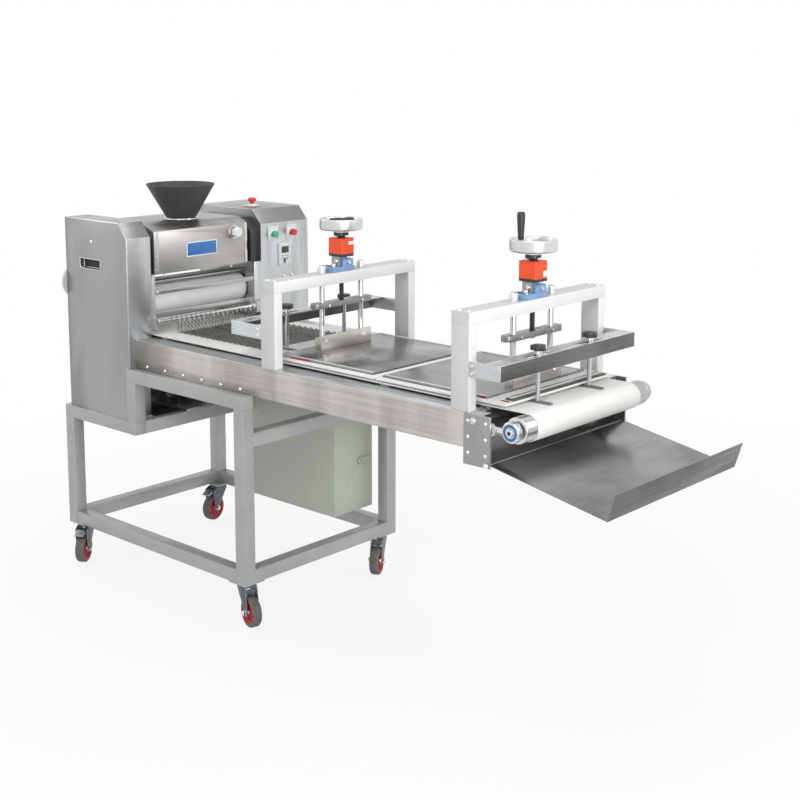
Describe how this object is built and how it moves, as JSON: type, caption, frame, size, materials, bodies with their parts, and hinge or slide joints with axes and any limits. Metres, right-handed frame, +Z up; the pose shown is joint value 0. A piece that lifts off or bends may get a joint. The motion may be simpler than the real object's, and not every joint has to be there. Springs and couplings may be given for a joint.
{
  "type": "dough moulder",
  "caption": "Dough moulder: hopper and paired sheeting rollers over a long belt with curling mesh, screw-lifted pressure boards, side guides and catch tray, on a castor frame.",
  "frame": {"origin": "middle of the footprint on the floor, where the castor wheels stand", "axes": "+X along the belt towards the discharge tray, +Y across towards the control housing, +Z up"},
  "size_m": [2.0848, 0.7934, 1.244],
  "materials": {
    "frame_paint": "semi-gloss silver-grey paint",
    "stainless": "satin brushed stainless sheet",
    "zinc": "zinc plated, satin",
    "castor_wheel": "grey tread on a red rim",
    "roller_white": "smooth white roller cover",
    "belt_white": "matt white food belt",
    "roller_steel": "turned aluminium",
    "black_plastic": "matt black plastic",
    "hopper_black": "matt dark grey plastic",
    "blue_plate": "blue enamel with a white border",
    "white_plastic": "smooth white plastic",
    "panel_white": "light grey plastic",
    "red_plastic": "glossy red plastic",
    "green_plastic": "glossy green plastic",
    "gantry_paint": "off-white paint",
    "cast_blue": "light blue painted casting",
    "orange_plastic": "orange-red plastic",
    "board": "white board with a steel face",
    "handwheel": "polished cast aluminium",
    "cabinet_paint": "greenish grey paint",
    "motor_dark": "dark grey motor paint",
    "bearing_blue": "bearing unit with a blue seal",
    "head_dark": "dark side plates with steel edges"
  },
  "bodies": {
    "base": {"frame_legs": "frame_paint", "frame_rails": "frame_paint", "frame_crossbars": "frame_paint", "near_housing": "stainless", "far_housing": "stainless", "housing_covers": "stainless", "head_side_plates": "head_dark", "head_crossbars": "stainless", "chain_mesh": "zinc", "control_panel": "panel_white", "side_beams": "stainless", "end_plates": "stainless", "slider_bed": "stainless", "belt": "belt_white", "end_bearings": "bearing_blue", "gantry_posts": "gantry_paint", "gantry_beams": "gantry_paint", "screw_castings": "cast_blue", "indicators": "orange_plastic", "guide_carriers": "stainless", "cabinet": "cabinet_paint", "drive_motor": "motor_dark", "fasteners": "zinc"},
    "rear_near_fork": {"rear_near_fork": "zinc"},
    "rear_near_wheel": {"rear_near_wheel": "castor_wheel"},
    "rear_far_fork": {"rear_far_fork": "zinc"},
    "rear_far_wheel": {"rear_far_wheel": "castor_wheel"},
    "front_near_fork": {"front_near_fork": "zinc"},
    "front_near_wheel": {"front_near_wheel": "castor_wheel"},
    "front_far_fork": {"front_far_fork": "zinc"},
    "front_far_wheel": {"front_far_wheel": "castor_wheel"},
    "near_brake_pedal": {"near_brake_pedal": "zinc"},
    "far_brake_pedal": {"far_brake_pedal": "zinc"},
    "rear_sheeting_roller": {"rear_sheeting_roller": "roller_white"},
    "front_sheeting_roller": {"front_sheeting_roller": "roller_white"},
    "end_roller": {"end_roller": "roller_steel"},
    "drive_roller": {"drive_roller": "roller_steel"},
    "rear_lift": {"rear_lift_frame": "stainless", "rear_board": "board"},
    "rear_handwheel": {"rear_handwheel": "handwheel"},
    "rear_crank_grip": {"rear_crank_grip": "black_plastic"},
    "front_lift": {"front_lift_frame": "stainless", "front_board": "board"},
    "front_handwheel": {"front_handwheel": "handwheel"},
    "front_crank_grip": {"front_crank_grip": "black_plastic"},
    "hood": {"hood": "stainless", "hopper": "hopper_black", "hood_plate": "blue_plate"},
    "hood_knob": {"hood_knob": "white_plastic"},
    "emergency_stop": {"emergency_stop": "red_plastic"},
    "start_button": {"start_button": "green_plastic"},
    "stop_button": {"stop_button": "red_plastic"},
    "speed_knob": {"speed_knob": "black_plastic"},
    "cabinet_door": {"cabinet_door": "cabinet_paint"},
    "door_latch": {"door_latch": "zinc"},
    "tray": {"tray": "stainless"},
    "rear_near_guide": {"rear_near_guide": "stainless"},
    "rear_far_guide": {"rear_far_guide": "stainless"},
    "front_near_guide": {"front_near_guide": "stainless"},
    "front_far_guide": {"front_far_guide": "stainless"}
  },
  "joints": [
    {"name": "rear_near_swivel", "type": "hinge", "parent": "base", "child": "rear_near_fork", "pos_m": [-1.00994, -0.32697, 0.127], "axis": [0, 0, 1], "continuous": true},
    {"name": "rear_near_roll", "type": "hinge", "parent": "rear_near_fork", "child": "rear_near_wheel", "pos_m": [-0.99317, -0.35184, 0.045], "axis": [0.829, 0.5592, 0], "continuous": true},
    {"name": "rear_far_swivel", "type": "hinge", "parent": "base", "child": "rear_far_fork", "pos_m": [-1.00994, 0.23803, 0.127], "axis": [0, 0, 1], "continuous": true},
    {"name": "rear_far_roll", "type": "hinge", "parent": "rear_far_fork", "child": "rear_far_wheel", "pos_m": [-1.00473, 0.20849, 0.045], "axis": [0.9848, 0.1736, 0], "continuous": true},
    {"name": "front_near_swivel", "type": "hinge", "parent": "base", "child": "front_near_fork", "pos_m": [-0.21994, -0.32697, 0.127], "axis": [0, 0, 1], "continuous": true},
    {"name": "front_near_roll", "type": "hinge", "parent": "front_near_fork", "child": "front_near_wheel", "pos_m": [-0.1911, -0.33524, 0.045], "axis": [0.2756, 0.9613, 0], "continuous": true},
    {"name": "front_far_swivel", "type": "hinge", "parent": "base", "child": "front_far_fork", "pos_m": [-0.21994, 0.23803, 0.127], "axis": [0, 0, 1], "continuous": true},
    {"name": "front_far_roll", "type": "hinge", "parent": "front_far_fork", "child": "front_far_wheel", "pos_m": [-0.20586, 0.21154, 0.045], "axis": [0.8829, 0.4695, 0], "continuous": true},
    {"name": "near_brake", "type": "hinge", "parent": "rear_near_fork", "child": "near_brake_pedal", "pos_m": [-0.98645, -0.36179, 0.106], "axis": [0.829, 0.5592, 0], "range_deg": [0, 14]},
    {"name": "far_brake", "type": "hinge", "parent": "rear_far_fork", "child": "far_brake_pedal", "pos_m": [-1.00265, 0.19667, 0.106], "axis": [0.9848, 0.1736, 0], "range_deg": [0, 14]},
    {"name": "rear_roller_spin", "type": "hinge", "parent": "base", "child": "rear_sheeting_roller", "pos_m": [-0.88244, -0.04447, 0.88], "axis": [0, 1, 0], "continuous": true},
    {"name": "front_roller_spin", "type": "hinge", "parent": "base", "child": "front_sheeting_roller", "pos_m": [-0.77844, -0.04447, 0.88], "axis": [0, 1, 0], "continuous": true},
    {"name": "end_roller_spin", "type": "hinge", "parent": "base", "child": "end_roller", "pos_m": [0.73856, -0.04447, 0.749], "axis": [0, 1, 0], "continuous": true},
    {"name": "drive_roller_spin", "type": "hinge", "parent": "base", "child": "drive_roller", "pos_m": [-0.94244, -0.04447, 0.749], "axis": [0, 1, 0], "continuous": true},
    {"name": "rear_board_lift", "type": "slide", "parent": "base", "child": "rear_lift", "axis": [0, 0, 1], "range_m": [0, 0.045]},
    {"name": "rear_handwheel_turn", "type": "hinge", "parent": "base", "child": "rear_handwheel", "pos_m": [-0.10544, -0.04447, 1.141], "axis": [0, 0, 1], "range_deg": [-4051, 1]},
    {"name": "rear_grip_fold", "type": "hinge", "parent": "rear_handwheel", "child": "rear_crank_grip", "pos_m": [-0.13517, -0.07123, 1.166], "axis": [0.6691, -0.7431, 0], "range_deg": [0, 90]},
    {"name": "front_board_lift", "type": "slide", "parent": "base", "child": "front_lift", "axis": [0, 0, 1], "range_m": [0, 0.045]},
    {"name": "front_handwheel_turn", "type": "hinge", "parent": "base", "child": "front_handwheel", "pos_m": [0.58256, -0.04447, 1.141], "axis": [0, 0, 1], "range_deg": [-4051, 1]},
    {"name": "front_grip_fold", "type": "hinge", "parent": "front_handwheel", "child": "front_crank_grip", "pos_m": [0.57086, -0.08272, 1.166], "axis": [0.9563, -0.2924, 0], "range_deg": [-90, 0]},
    {"name": "hood_hinge", "type": "hinge", "parent": "base", "child": "hood", "pos_m": [-0.94344, -0.04447, 1.099], "axis": [0, -1, 0], "range_deg": [0, 70]},
    {"name": "hood_knob_turn", "type": "hinge", "parent": "hood", "child": "hood_knob", "pos_m": [-0.70144, 0.06553, 1.074], "axis": [1, 0, 0], "range_deg": [-90, 0]},
    {"name": "emergency_press", "type": "slide", "parent": "base", "child": "emergency_stop", "axis": [0, 0, -1], "range_m": [0, 0.006], "stiffness_N_per_m": 600, "springref_m": -0.002},
    {"name": "start_press", "type": "slide", "parent": "base", "child": "start_button", "axis": [-1, 0, 0], "range_m": [0, 0.003], "stiffness_N_per_m": 400, "springref_m": -0.001},
    {"name": "stop_press", "type": "slide", "parent": "base", "child": "stop_button", "axis": [-1, 0, 0], "range_m": [0, 0.003], "stiffness_N_per_m": 400, "springref_m": -0.001},
    {"name": "speed_knob_turn", "type": "hinge", "parent": "base", "child": "speed_knob", "pos_m": [-0.70144, 0.28403, 0.958], "axis": [1, 0, 0], "range_deg": [-140, 140]},
    {"name": "cabinet_door_hinge", "type": "hinge", "parent": "base", "child": "cabinet_door", "pos_m": [-0.65732, 0.24153, 0.206], "axis": [0, 0, 1], "range_deg": [0, 90]},
    {"name": "door_latch_turn", "type": "hinge", "parent": "base", "child": "door_latch", "pos_m": [-0.26732, 0.20053, 0.367], "axis": [1, 0, 0], "range_deg": [-90, 0]},
    {"name": "tray_tilt", "type": "hinge", "parent": "base", "child": "tray", "pos_m": [0.67656, -0.04447, 0.658], "axis": [0, -1, 0], "range_deg": [0, 25]},
    {"name": "rear_near_guide_slide", "type": "slide", "parent": "base", "child": "rear_near_guide", "axis": [0, 1, 0], "range_m": [-0.045, 0.045]},
    {"name": "rear_far_guide_slide", "type": "slide", "parent": "base", "child": "rear_far_guide", "axis": [0, 1, 0], "range_m": [-0.045, 0.045]},
    {"name": "front_near_guide_slide", "type": "slide", "parent": "base", "child": "front_near_guide", "axis": [0, 1, 0], "range_m": [-0.045, 0.045]},
    {"name": "front_far_guide_slide", "type": "slide", "parent": "base", "child": "front_far_guide", "axis": [0, 1, 0], "range_m": [-0.045, 0.045]}
  ],
  "couplings": [
    {"joint": "front_roller_spin", "follows": "rear_roller_spin", "ratio": -1},
    {"joint": "drive_roller_spin", "follows": "end_roller_spin", "ratio": 1},
    {"joint": "rear_handwheel_turn", "follows": "rear_board_lift", "rad_per_m": -1570.8},
    {"joint": "front_handwheel_turn", "follows": "front_board_lift", "rad_per_m": -1570.8}
  ]
}
